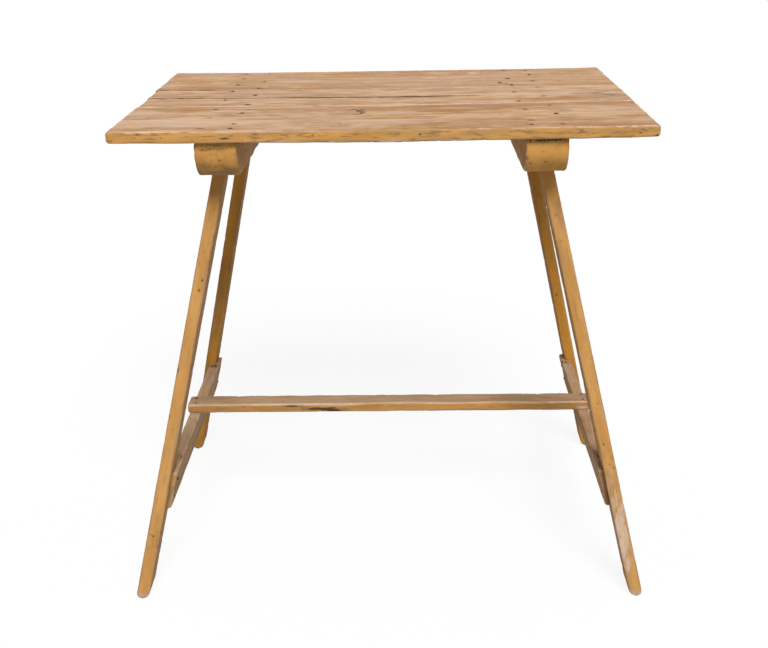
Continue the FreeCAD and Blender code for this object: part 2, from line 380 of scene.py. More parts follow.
    def _paint_cover(self, g: Graph, grain: Wire) -> tuple[Wire, Wire]:
        """Where paint is left.

        Args:
            g: The material's graph.
            grain: Place in the timber.

        Returns:
            The share of paint, and the thickness of its film.
        """
        laid, edge, rub = (g.mark(line) for line in (Line.PAINT, Line.EDGE, Line.RUB))
        scuff, drift, grit = g.noises(grain, Weave.SCUFF, Weave.DRIFT, Weave.GRIT)
        arris = 1.0 - (edge / self.arris_wear + (drift - 0.5) * 2.8 + (scuff - 0.5) * 1.6).step(0.25, 1.0)
        thin = scuff * 0.36 + drift * 0.32 + grit * 0.32 + rub * 0.42
        worn = thin.step(self.rub_level - self.rub_blur, self.rub_level + self.rub_blur)
        cover = laid.step(0.35, 0.62) * (1.0 - arris * 0.85) * (1.0 - worn)
        return cover, cover * (0.8 + scuff * 0.2)

    def _soil(self, g: Graph, grain: Wire) -> Wire:
        """Share of ingrained dirt and painted shade: stains that break into strokes, specks in dents and
        thin scratches.
        """
        strokes, ragged, fine, lines, where = g.noises(
            grain, Weave.STROKES, Weave.RAGGED, Weave.SPECKS, Weave.SCRATCHES, Weave.SCRATCHED)
        stain = g.mark(Line.STAIN)
        blot = (strokes * 0.55 + ragged * 0.45 + stain * 0.36).step(0.66, 0.80) * stain.step(0.02, 0.25)
        specks = (fine + g.mark(Line.DULL) * 0.05).step(0.725, 0.79)
        scratch = (1.0 - ((lines - 0.5) ** 2.0).step(0.0, 0.00035)) * where.step(0.55, 0.64)
        return (blot * 0.72 + stain.step(0.0, 1.1) * 0.22).larger(specks.larger(scratch * 0.9) * self.speck)


@dataclass(frozen=True)
class NailFinish:
    """Rusted dark iron, some heads darker than others."""

    name: str = "nail_iron"
    dark: Colour = (0.020, 0.015, 0.012)
    rust: Colour = (0.10, 0.058, 0.034)
    faded: Colour = (0.17, 0.105, 0.066)
    relief: float = 0.0003

    def material(self) -> Material:
        """Build the material.

        Returns:
            A new material with this finish.
        """
        made, g = new_material(self.name)
        place = g.add("ShaderNodeTexCoord", output="Object")
        rust, heads = g.noises(place, Weave.RUST, Weave.HEADS)
        colour = g.mix(rust.step(0.4, 0.65), self.dark, self.rust)
        colour = g.mix(heads.step(0.45, 0.58), colour, self.faded)
        bump = g.add("ShaderNodeBump", None, {"Strength": 0.4, "Distance": self.relief, "Height": rust})
        metal = 0.6 - rust.step(0.3, 0.6) * 0.6
        g.surface({"Base Color": colour, "Roughness": 0.6 + rust * 0.3, "Metallic": metal, "Normal": bump})
        return made


BOARD_PINE = TimberFinish(
    "bare_pine", pale=(0.785, 0.545, 0.372), deep=(0.485, 0.26, 0.12), grey=(0.44, 0.31, 0.215),
    scrubbed=(0.785, 0.58, 0.435), brown=(0.485, 0.255, 0.105), grey_share=0.55, paint=(0.66, 0.345, 0.102),
    paint_shade=(0.55, 0.28, 0.078), wash=(0.38, 0.235, 0.115), smear=0.75, chip_share=0.58, rub_level=0.685)
OCHRE = TimberFinish(
    "ochre_paint", pale=(0.52, 0.315, 0.155), deep=(0.34, 0.19, 0.082), grey=(0.32, 0.20, 0.108),
    scrubbed=(0.74, 0.56, 0.44), paint=(0.64, 0.335, 0.105), paint_shade=(0.53, 0.268, 0.078),
    wash=(0.34, 0.21, 0.10), rub_level=0.71)
CLEAT_OCHRE = replace(
    OCHRE, name="cleat_ochre_paint", paint=(0.68, 0.345, 0.094), paint_shade=(0.56, 0.275, 0.068),
    wash=(0.30, 0.19, 0.095), wash_share=0.7, speck=0.18, rub_level=0.76)
# Painted shade: the back legs get a darker, more saturated ochre than the front legs, standing in for the
# shade under the top.
SHADED_BACK_OCHRE = TimberFinish(
    "back_ochre_painted_shade", pale=(0.44, 0.26, 0.125), deep=(0.30, 0.165, 0.068), grey=(0.29, 0.18, 0.095),
    paint=(0.64, 0.295, 0.048), paint_shade=(0.53, 0.24, 0.038), rub_level=0.74)
STRETCHER_WOOD = TimberFinish(
    "worn_rail_wood", pale=(0.535, 0.357, 0.22), deep=(0.405, 0.26, 0.15), grey=(0.385, 0.26, 0.16),
    scrubbed=(0.66, 0.475, 0.325), grey_share=0.7, paint=(0.55, 0.278, 0.080),
    paint_shade=(0.44, 0.218, 0.060), smear=0.5, arris_wear=0.0036, chip_share=0.5, rub_level=0.64)
RAIL_WOOD = replace(
    STRETCHER_WOOD, name="rail_wood", pale=(0.69, 0.46, 0.275), deep=(0.48, 0.30, 0.16),
    grey=(0.48, 0.33, 0.205), scrubbed=(0.74, 0.54, 0.38))


# Places in the frame


@dataclass(frozen=True)
class Box:
    """A level box by its lowest and its highest corner."""

    low: Points
    high: Points

    @property
    def middle(self) -> Points:
        """Its middle."""
        return (self.low + self.high) / 2

    @property
    def size(self) -> Points:
        """Its three sides."""
        return self.high - self.low


def whole(node: str) -> Box:
    """Box of a CAD node."""
    return Box(*(np.array(corner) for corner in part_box(node)))


def slab(node: str, low: float, high: float = ABOVE_ALL) -> Box:
    """Box of a CAD node's points between two heights."""
    places = np.array([v.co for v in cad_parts[node].data.vertices])
    kept = places[(places[:, 2] >= low) & (places[:, 2] <= high)]
    return Box(kept.min(0), kept.max(0))


def level(node: str, height: float) -> Box:
    """Box of a CAD node's points at one height."""
    return slab(node, height - HAIR, height + HAIR)


def leg_line(node: str) -> tuple[Points, Points, Points]:
    """A leg's line and section: middle of its foot, run for each metre of height, and sides."""
    foot, top = level(node, 0.0), level(node, SHOULDER)
    return foot.middle, (top.middle - foot.middle) / SHOULDER, foot.size


def islands(node: str) -> list[Box]:
    """Boxes of the separate solids of a CAD node.

    Args:
        node: The node's name.

    Returns:
        One box for each solid, in the order of the node's points.
    """
    work = bmesh.new()
    work.from_mesh(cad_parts[node].data)
    bmesh.ops.remove_doubles(work, verts=work.verts, dist=1e-5)
    done, found = set(), []
    for first in work.verts:
        if first in done:
            continue
        done.add(first)
        reach, seen = [first], []
        while reach:
            vert = reach.pop()
            seen.append(np.array(vert.co))
            near = [far for edge in vert.link_edges if (far := edge.other_vert(vert)) not in done]
            done.update(near)
            reach += near
        found.append(Box(np.min(seen, 0), np.max(seen, 0)))
    work.free()
    return found


# Wear

FADE = 1.25


@dataclass(frozen=True)
class Mark:
    """A soft spot on a timber, where dirt sits, paint is rubbed off, or shade or light is painted."""

    middle: Triple
    reach: Triple
    strength: float = 1.0

    def share(self, places: Points) -> Points:
        """Strength of the spot at each place, fading outwards."""
        away = np.linalg.norm((places - np.array(self.middle)) / np.array(self.reach), axis=1)
        return self.strength * np.clip(FADE - FADE * away, 0.0, 1.0)


Marks = dict[Line, list[Mark]]
SPOT_LINES = (Line.STAIN, Line.RUB, Line.TONE, Line.DULL)


def sum_marks(marks: list[Mark], places: Points) -> Points:
    """The strongest raising and the strongest lowering spot at each place, added up."""
    shares = np.array([np.zeros(len(places)), *(mark.share(places) for mark in marks)])
    return shares.max(0) + shares.min(0)


def on_top(spots: Spots, z: float, share: float = 1.0, depth: float = 0.02) -> list[Mark]:
    """Marks on a face that looks up, from spots of X, Y, two reaches and a strength."""
    return [Mark((x * MM, y * MM, z), (rx * MM, ry * MM, depth), s * share) for x, y, rx, ry, s in spots]


def in_front(spots: Spots, y: Callable[[float], float], depth: float, share: float = 1.0) -> list[Mark]:
    """Marks on a face that looks to the front, from spots of X, Z, two reaches and a strength."""
    return [Mark((x * MM, y(z * MM), z * MM), (rx * MM, depth, rz * MM), s * share)
            for x, z, rx, rz, s in spots]


def ripple(seed: int, place: Points, pitch: float) -> Points:
    """Smooth seeded unevenness, mostly between -1 and 1.

    Args:
        seed: Chooses the run.
        place: Where to read it, in metres.
        pitch: Rough length of one swell.

    Returns:
        The unevenness at each place.
    """
    chance = np.random.default_rng(seed)
    total = np.zeros_like(place, dtype=float)
    for _ in range(5):
        rate, phase = chance.uniform(0.5, 1.6) / pitch, chance.random()
        total += np.sin(2 * math.pi * (rate * place + phase))
    return total / 3.0


# Timbers

PAINT_BLEND = 0.0012
CUT_DEPTH = 0.0035
CUT_EDGE = 0.01
GRAIN_SHIFT = 40
NO_KNOT = (9.0, 9.0, 0.01)
ARRIS_SWELL, ARRIS_PITCH = 0.45, 0.09
CHIP_PITCH, FINE_CHIP_PITCH, CHIP_LEVEL = 0.035, 0.012, 0.55
FACE_PITCH = 0.16


@dataclass
class Timber:
    """A sawn piece of wood with rounded, chipped arrises, laid along its own three directions."""

    name: str
    origin: Triple
    length: float
    width: float
    height: float
    along: Triple = X
    across: Triple = Y
    up: Triple = Z
    paint: dict[Face, float] = field(default_factory=dict)
    marks: Marks = field(default_factory=dict)
    seed: int = 1
    arris: float = 0.0024
    chip: float = 0.0008
    rounds: tuple[float, float] = (0.003, 0.003)
    blunt: float = 1.0
    nose: float = 0.0
    pitch: float = 0.0028
    uneven: float = 0.0006
    bow: Callable[[Points], Points] | None = None
    knots: tuple[tuple[float, float, float, float], ...] = ()

    @property
    def basis(self) -> Points:
        """Its three directions, one in each row."""
        return np.array([self.along, self.across, self.up])

    def underside(self, a: Points) -> Points:
        """Lowest line of the section along the piece, which rises in a bullnose at both ends."""
        low = np.full_like(a, -self.height / 2)
        if self.nose:
            into = np.clip(self.nose - np.minimum(a, self.length - a), 0.0, self.nose)
            low += self.nose - np.sqrt(np.maximum(self.nose**2 - into**2, 0.0))
        return low

    def stations(self) -> tuple[Points, Points]:
        """Where the sections stand along the piece, and how far each is drawn in at a rounded end.

        Returns:
            Places along the piece, and the inset of each.
        """
        turn = np.linspace(0.0, math.pi / 2, 9)
        first, last = self.rounds
        lead = max(first, last) + self.pitch * 0.5
        inner = np.linspace(lead, self.length - lead, max(2, round(self.length / self.pitch)))
        if self.nose:
            curl = self.nose * (1 - np.sin(np.linspace(math.pi / 2, 0.0, 18)))[:-1]
            inner = np.unique(np.round(np.concatenate([inner, lead + curl, self.length - lead - curl]), 6))
        rise, fall = 1 - np.cos(turn), 1 - np.sin(turn)
        a = np.concatenate([first * rise, inner, self.length - last * rise[::-1]])
        inset = np.concatenate([first * fall, np.zeros_like(inner), last * fall[::-1]])
        return a, inset

    def section(self, a: Points, inset: Points) -> tuple[Points, Points]:
        """Rounded outline of the piece at every station.

        Args:
            a: Places along the piece.
            inset: How far each section is drawn in.

        Returns:
            Places across and up, one row for each station.
        """
        half = np.maximum(self.width / 2 - inset, self.width * 0.06)
        low, high = self.underside(a) + inset * self.blunt, self.height / 2 - inset * self.blunt
        corners = []
        for c, (su, top) in enumerate(((1, 0), (1, 1), (-1, 1), (-1, 0))):
            swell = 1 + ARRIS_SWELL * ripple(self.seed * 31 + c, a, ARRIS_PITCH)
            r = np.minimum(self.arris * np.clip(swell, 0.4, 2.0), np.minimum(half, (high - low) / 2) * 0.9)
            rough = ripple(self.seed * 57 + c, a, CHIP_PITCH)
            rough = rough + 0.6 * ripple(self.seed * 83 + c, a, FINE_CHIP_PITCH)
            bite = self.chip * np.clip(rough - CHIP_LEVEL, 0.0, 1.2)
            cu, cv = su * (half - r), np.where(top, high - r, low + r)
            turn = math.radians(-90 + 90 * c) + np.linspace(0, math.pi / 2, 5)
            mid = math.radians(-45 + 90 * c)
            us = cu[:, None] + r[:, None] * np.cos(turn) - (bite * math.cos(mid))[:, None]
            vs = cv[:, None] + r[:, None] * np.sin(turn) - (bite * math.sin(mid))[:, None]
            corners.append((us, vs))
        across, upward = [], []
        for c, (us, vs) in enumerate(corners):
            next_u, next_v = corners[(c + 1) % 4]
            run = self.height if c % 2 == 0 else self.width
            share = np.linspace(0, 1, max(3, round(run / self.pitch)) + 1)[1:-1]
            slant = a[:, None] * 0.7 + share * run * 2.3
            swell = self.uneven * ripple(self.seed * 13 + c, slant, FACE_PITCH)
            normal = math.radians(90 * c)
            side_u = us[:, -1:] + (next_u[:, :1] - us[:, -1:]) * share + swell * math.cos(normal)
            side_v = vs[:, -1:] + (next_v[:, :1] - vs[:, -1:]) * share + swell * math.sin(normal)
            across += [us, side_u]
            upward += [vs, side_v]
        return np.concatenate(across, 1), np.concatenate(upward, 1)

    def bar(self) -> Mesh:
        """Carry the section along the piece and close its ends.

        Returns:
            A closed mesh in the frame's own place.
        """
        a, inset = self.stations()
        u, v = self.section(a, inset)
        a = np.broadcast_to(a[:, None], u.shape)
        if self.bow:
            v = v + self.bow(a)
        rows, ring = u.shape
        places = np.stack([a, u, v], -1).reshape(-1, 3) @ self.basis + np.array(self.origin)
        quads = [(i + j, i + (j + 1) % ring, i + ring + (j + 1) % ring, i + ring + j)
                 for i in range(0, (rows - 1) * ring, ring) for j in range(ring)]
        caps = [tuple(range(ring)), tuple(range((rows - 1) * ring, rows * ring))]
        made = closed_mesh(self.name, places, quads + caps)
        made.polygons.foreach_set("use_smooth", [True] * len(quads) + [False] * len(caps))
        return made

    def mesh(self, cutters: list[Mesh] | None = None) -> Mesh:
        """The finished mesh: joints cut, and the marks that its finish reads on every point.

        Args:
            cutters: Blocks to take out.

        Returns:
            The mesh, in the frame's own place.
        """
        mesh = carve(self.bar(), cutters) if cutters else self.bar()
        places = np.zeros(len(mesh.vertices) * 3)
        mesh.vertices.foreach_get("co", places)
        places = places.reshape(-1, 3)
        a, u, v = ((places - np.array(self.origin)) @ np.linalg.inv(self.basis)).T
        half = self.width / 2
        away = np.abs(np.stack(
            [a, self.length - a, u + half, half - u, v - self.underside(a), self.height / 2 - v]))
        ranked = np.sort(away, axis=0)
        share = np.exp(-(away - ranked[0]) / PAINT_BLEND)
        laid = np.array([self.paint.get(face, 0.0) for face in Face])
        paint = (share * laid[:, None]).sum(0) / share.sum(0)
        cut = (ranked[0] > CUT_DEPTH) & (a > self.nose) & (a < self.length - self.nose)
        paint[cut] = 0.0
        rim = np.sort(away[2:], axis=0) if self.nose else ranked
        edge = np.where(cut, CUT_EDGE, rim[1])
        grain = np.stack([a, u, v], 1) + np.random.default_rng(self.seed).uniform(0, GRAIN_SHIFT, 3)
        knot = np.tile(np.array(NO_KNOT), (len(a), 1))
        for ka, ku, half_along, half_across in self.knots:
            here = np.stack([(a - ka) / half_along, (u - ku) / half_across, np.full_like(a, half_across)], 1)
            closer = np.linalg.norm(here[:, :2], axis=1) < np.linalg.norm(knot[:, :2], axis=1)
            knot[closer] = here[closer]
        lines = {Line.GRAIN: grain, Line.KNOT: knot, Line.EDGE: edge, Line.PAINT: paint}
        lines.update({line: sum_marks(self.marks.get(line, []), places) for line in SPOT_LINES})
        for line, values in lines.items():
            write_line(mesh, line.value, values)
        return mesh


def write_line(mesh: Mesh, name: str, values: Points) -> None:
    """Write one number or one vector for each point of a mesh."""
    kind, key = ("FLOAT_VECTOR", "vector") if values.ndim == 2 else ("FLOAT", "value")
    layer = mesh.attributes.new(name, kind, "POINT")
    layer.data.foreach_set(key, values.astype(np.float32).ravel())


def closed_mesh(name: str, places: Points, faces: list[tuple[int, ...]]) -> Mesh:
    """A closed mesh with every face turned outwards."""
    made = bpy.data.meshes.new(name)
    made.from_pydata(places.tolist(), [], faces)
    work = bmesh.new()
    work.from_mesh(made)
    bmesh.ops.recalc_face_normals(work, faces=work.faces)
    work.to_mesh(made)
    work.free()
    return made


def block(name: str, low: Points, high: Points, half: Points) -> Mesh:
    """A closed block between two equal level rectangles.

    Args:
        name: Name of the mesh.
        low: Middle of the lower one.
        high: Middle of the upper one.
        half: Half of their sides.

    Returns:
        The block.
    """
    corners = [end + np.array([sx * half[0], sy * half[1], 0.0]) for end in (low, high)
               for sx, sy in ((-1, -1), (1, -1), (1, 1), (-1, 1))]
    sides = [(i, (i + 1) % 4, (i + 1) % 4 + 4, i + 4) for i in range(4)]
    return closed_mesh(name, np.array(corners), [(3, 2, 1, 0), (4, 5, 6, 7), *sides])


def link(name: str, data: Any) -> bpy.types.Object:
    """A new object in the scene."""
    holder = bpy.data.objects.new(name, data)
    bpy.context.scene.collection.objects.link(holder)
    return holder


def carve(mesh: Mesh, cutters: list[Mesh]) -> Mesh:
    """Take blocks out of a mesh.

    Args:
        mesh: What is cut.
        cutters: The blocks.

    Returns:
        A new mesh with the cuts made.
    """
    holders = [link(m.name, m) for m in (mesh, *cutters)]
    for holder in holders[1:]:
        cut = holders[0].modifiers.new("cut", "BOOLEAN")
        cut.operation, cut.solver, cut.object = "DIFFERENCE", "EXACT", holder
    made = plain_mesh(holders[0])
    for holder in holders:
        bpy.data.objects.remove(holder)
    return made


def plain_mesh(holder: bpy.types.Object) -> Mesh:
    """The mesh that an object's modifiers give, as plain data."""
    ready = bpy.context.evaluated_depsgraph_get()
    ready.update()
    return bpy.data.meshes.new_from_object(holder.evaluated_get(ready))


def joined(name: str, meshes: list[Mesh]) -> Mesh:
    """Several meshes as one, marks and all."""
    work = bmesh.new()
    for mesh in meshes:
        work.from_mesh(mesh)
    made = bpy.data.meshes.new(name)
    work.to_mesh(made)
    work.free()
    return made


def set_piece(name: str, mesh: Mesh, body: str, nodes: list[str],
              material: Material | None) -> None:
    """Put a finished mesh into the scene in place of its CAD nodes.

    Args:
        name: The piece's name.
        mesh: Its mesh, in the frame's place.
        body: The CAD body that it moves with.
        nodes: The CAD nodes that it stands for.
        material: Its finish, or None where the mesh has it.
    """
    piece = link(name, mesh)
    if material:
        mesh.materials.clear()
        mesh.materials.append(material)
    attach(piece, body)
    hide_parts(*nodes)
    log.info("%s: %d faces, on %s", name, len(mesh.polygons), body)


def inner_outer(sx: int) -> tuple[Face, Face]:
    """Inner and outer face of a piece that stands on the left (-1) or on the right (1)."""
    return (Face.FAR, Face.NEAR) if sx < 0 else (Face.NEAR, Face.FAR)


# Top


@dataclass
class PlankTop:
    """The five boards of the top, with the wear of its upper face and of its front edge, and a painted
    shadow line under its front edge.
    """

    finish: TimberFinish = BOARD_PINE
    lift: float = 0.0014
    dip: float = 0.0016
    edge_share: float = 0.7
    lower_arris_shadow_share: float = 0.65
    edge_depth: float = 0.004
    edge_wear_depth: float = 0.006
    seam_reach: float = 6.4
    snug: float = 0.0004
    knot: tuple[float, float, float, float] = (0.352, 0.044, 0.017, 0.025)
    pale: Spots = (
        (-335, -212, 90, 14, 0.9), (-173, -220, 60, 10, 0.9), (10, -218, 120, 12, 0.8),
        (-155, 180, 80, 20, 0.8), (-335, 69, 90, 10, 0.9), (14, 128, 30, 14, 0.6), (162, 256, 18, 28, 0.9),
        (176, 165, 4, 75, 0.4), (125, 138, 20, 12, 0.6), (-190, -103, 140, 10, 0.6),
        (335, -190, 80, 22, 0.5), (-300, -250, 80, 30, 0.4), (60, -86, 100, 6, 0.6),
        (-370, -88, 50, 6, 0.6), (-20, 205, 90, 20, 0.4), (50, 200, 600, 150, 0.3))
    brown: Spots = (
        (-30, 256, 240, 14, 0.7), (75, -154, 110, 22, 0.35), (120, -103, 80, 10, 0.3),
        (-300, -150, 110, 18, 0.6), (166, -224, 70, 12, 0.7), (-372, -199, 35, 5, 0.9),
        (-168, -203, 30, 5, 0.8), (-95, 60, 100, 18, 0.5), (20, 78, 40, 16, 0.6), (300, -30, 40, 22, 0.4),
        (-310, 212, 80, 16, 0.4), (0, -200, 60, 4, 0.7), (300, 100, 120, 14, 0.4), (-60, -20, 50, 8, 0.5))
    dull: Spots = (
        (-93, -38, 110, 34, 0.9), (363, -33, 45, 36, 1), (275, -165, 30, 30, 0.7), (90, 55, 40, 25, 0.7),
        (-395, 155, 20, 40, 0.5), (200, 140, 30, 50, 0.5), (240, 50, 100, 20, 0.35),
        (-260, 20, 50, 30, 0.4), (-68, -166, 26, 20, 0.8))
    stains: Spots = (
        (203, 130, 6, 20, 1), (211, 112, 10, 8, 0.9), (-60, -250, 6, 10, 0.6), (373, -18, 28, 5, 0.9),
        (375, -31, 18, 4, 0.8), (352, -2, 34, 4, 0.8), (345, -45, 22, 3, 0.6), (-330, 84, 100, 7, 0.8),
        (-385, 84, 30, 8, 0.9))
    seam: tuple[Triple, ...] = (
        (-370, 70, 0.9), (-325, 60, 1.2), (-260, 80, 1), (-190, 100, 1.05), (-140, 50, 1.3),
        (-100, 90, 1.35), (-45, 60, 1.35), (0, 45, 1.1), (45, 60, 1.4), (90, 60, 1.35), (140, 50, 0.9),
        (340, 60, 0.7))
    edge_dirt: Spots = (
        (-390, 759, 14, 10, 0.55), (-343, 765.5, 22, 3.5, 0.8), (-316, 761.6, 4, 3.5, 0.9),
        (-226, 759.3, 16, 4, 1), (-233, 762.5, 14, 3, 0.8), (-182.5, 758.8, 14, 9, 0.6),
        (-151, 761.4, 18, 3, 0.9), (-115, 761.2, 24, 6, 0.55), (-97, 762.5, 4, 5, 0.9),
        (-38, 763.5, 22, 3, 0.7), (-17, 761.3, 5, 4, 0.9), (56.5, 761.2, 4, 6, 1), (77, 758.7, 26, 5, 0.6),
        (168, 762.5, 60, 4, 0.5), (345, 761.6, 30, 6, 0.6), (357, 758, 22, 4, 0.5), (370, 761, 5, 4, 1),
        (396, 757, 10, 5, 0.8))
    edge_wear: Spots = (
        (-190, 764, 30, 8, 0.5), (-115, 764, 50, 8, 0.6), (77, 760, 30, 6, 0.55), (170, 764, 100, 8, 0.5),
        (280, 765, 50, 7, 0.5), (350, 762, 55, 10, 0.75), (-340, 767, 30, 4, 0.6), (-30, 767, 60, 5, 0.55),
        (220, 768, 50, 4, 0.6))

    def bow(self, middle: float, hang: float) -> Callable[[Points], Points]:
        """A board's ends stand up a little past the cleats, and its middle hangs by a share of the dip."""

        def rise(a: Points) -> Points:
            """Height of the bow at places along the board."""
            out = np.abs(a - middle) / middle
            ends = self.lift * np.clip((out - 0.6) / 0.4, 0, 1) ** 1.5
            return ends - self.dip * hang * np.clip(1 - out / 0.5, 0, 1)

        return rise

    def marks(self, nails: list[Vector]) -> Marks:
        """Wear of the whole top: on its upper face, in its seams and on its front edge, with a painted
        shadow line along the lower front arris.

        Args:
            nails: Places of the nail heads.

        Returns:
            The spots of each kind.
        """
        chance = np.random.default_rng(Seed.NAIL_DIRT)
        top, corner = CAD_BOX[1].z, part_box(BOARDS[0])[0]
        soil = [Mark((n.x + chance.uniform(-0.002, 0.002), n.y, n.z),
                     (chance.uniform(0.009, 0.017), chance.uniform(0.006, 0.011), 0.01),
                     chance.uniform(0.55, 1.0)) for n in nails]
        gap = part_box("third_board")[0].y / MM
        soil += on_top(tuple((x, gap, reach, self.seam_reach, s) for x, reach, s in self.seam), top)
        soil += on_top(self.stains, top)
        soil += in_front(self.edge_dirt, lambda _: corner.y, self.edge_depth, self.edge_share)
        # Painted shadow: a dark line along the lower arris of the front edge.
        soil.append(Mark((0.0, corner.y, corner.z), (1.2, self.edge_depth, 0.003),
                         self.edge_share * self.lower_arris_shadow_share))
        tone = on_top(self.pale, top) + on_top(self.brown, top, -1.0)
        dull = on_top(self.dull, top) + in_front(self.edge_wear, lambda _: corner.y, self.edge_wear_depth)
        return {Line.STAIN: soil, Line.TONE: tone, Line.DULL: dull}

    def build(self, nails: list[Vector]) -> None:
        """Make and place the boards.

        Args:
            nails: Places of the nail heads.
        """
        material = self.finish.material()
        plain = {"arris": 0.0014}
        wide = {"rounds": (0.0055, 0.005), "knots": (self.knot,)}
        marks = self.marks(nails)
        for index, node in enumerate(BOARDS):
            box = whole(node)
            length, width, height = box.size
            paint = {Face.START: 0.9, Face.END: 0.9}
            if node == BOARDS[0]:
                paint[Face.NEAR] = 1.0
            if node == BOARDS[-1]:
                paint[Face.FAR] = 1.0
            timber = Timber(
                f"{node}_plank", (box.low[0], *box.middle[1:]), length, width + self.snug, height,
                paint=paint, marks=marks, seed=Seed.BOARDS + index, uneven=0.0003,
                bow=self.bow(length / 2, 1 - index / 4), **(plain if index else wide))
            set_piece(timber.name, timber.mesh(), "top", [node], material)


@dataclass
class CleatPair:
    """The two bullnose cleats under the boards, with the wear of their front ends and painted shade where
    the boards overhang them.
    """

    material: Material
    nose: float = 0.044
    mortise_slack: float = 0.0004
    front_depth: float = 0.06
    # The first spot on each side is a painted shadow line under the boards' overhang; the others are dirt.
    left_dirt_and_shadow: Spots = (
        (-242, 752.5, 45, 3, 0.9), (-255, 744, 16, 9, 0.62), (-236, 743, 22, 8, 0.6),
        (-246, 735, 16, 8, 0.5), (-235.9, 725.6, 6, 3.5, 0.8), (-242.2, 714.9, 32, 6, 0.45),
        (-225.4, 713.2, 14, 6, 0.5))
    right_dirt_and_shadow: Spots = (
        (240, 753.5, 60, 11, 0.95), (211.4, 722.9, 4.5, 5, 0.9), (217.6, 714.1, 4.5, 4.5, 0.75),
        (234.8, 732.2, 6, 3, 0.55), (239.2, 716.5, 6, 3.5, 0.55), (231.6, 734.6, 4, 3.5, 0.5))
    # The first left spot darkens the top of the end, partly dirt and partly painted shadow of the boards;
    # the last right spot is a painted shadow band under the boards, and the first right spot takes the wash
    # off the whole end.
    left_wash_and_shade: Spots = (
        (-243, 748, 45, 11, 1.3), (-242.2, 714.9, 36, 8, 1.6), (-225.4, 712.5, 20, 9, 1.8),
        (-258, 717, 22, 12, 2), (-240, 704, 60, 12, 1.5))
    right_wash_and_shade: Spots = (
        (240, 725, 200, 200, -1.3), (240, 752, 60, 16, 3.2))
    left_rub: Spots = (
        (-246, 748, 34, 13, 0.72), (-258, 742, 14, 10, 0.65))

    def build(self) -> None:
        """Make and place both cleats."""
        self.cleat("left", -1, self.left_dirt_and_shadow, self.left_wash_and_shade, self.left_rub)
        self.cleat("right", 1, self.right_dirt_and_shadow, self.right_wash_and_shade, ())

    def cleat(self, side: str, sx: int, *wear: Spots) -> None:
        """Make and place one cleat, with the mortises for the legs' tenons.

        Args:
            side: Left or right.
            sx: -1 on the left, 1 on the right.
            wear: Dirt with a painted shadow line, wash with a painted shade band, and rubbed places of its
                front end.
        """
        node = f"{side}_cleat"
        box = whole(node)
        (x, y, z), (width, length, height) = box.middle, box.size
        front, floor, roof = box.low[1], box.low[2], box.high[2]
        inside = x - sx * width / 2
        inner, outer = inner_outer(sx)
        paint = {Face.START: 1.0, Face.END: 1.0, outer: 1.0, Face.UNDER: 0.8, inner: 0.52}
        # Soil and dull hold the front end's dirt and its painted shadow under the boards.
        soil, dull, worn = (in_front(spots, lambda _: front + 0.008, self.front_depth) for spots in wear)
        # Painted shade: a dark stain where the back end meets the boards, and a darker upper part of the
        # inner face under the boards.
        soil += [Mark((x, box.high[1], roof), (0.04, 0.03, 0.007), 0.9),
                 Mark((inside, y, roof), (0.006, 3.0, 0.036), 0.5)]
        bare = Mark((inside, front + 0.02, floor + 0.006), (0.008, 0.03, 0.012), 0.7)
        # Painted light: paler bare wood along the lower edge of the inner face.
        light = Mark((inside, y, floor + 0.008), (0.006, 3.0, 0.026), 0.6)
        timber = Timber(
            f"{node}_bar", (x, front, z), length, width, height, Y, X, Z, paint,
            {Line.STAIN: soil, Line.RUB: [bare, *worn], Line.TONE: [bare, light], Line.DULL: dull},
            Seed.CLEATS + sx, arris=0.0035, rounds=(0.0025, 0.0025), nose=self.nose, pitch=0.0026,
            uneven=0.0004)
        mesh = timber.mesh([self.mortise(f"{row}_{side}_leg") for row, _ in ROWS])
        set_piece(timber.name, mesh, "top", [node], self.material)

    def mortise(self, leg: str) -> Mesh:
        """A block a little larger than a leg's tenon."""
        tenon = slab(leg, SHOULDER + HAIR)
        x, y, _ = tenon.middle
        floor, roof = np.array([x, y, SHOULDER - 0.01]), np.array([x, y, tenon.high[2] + self.mortise_slack])
        return block(f"{leg}_mortise", floor, roof, tenon.size / 2 + self.mortise_slack)


# Base


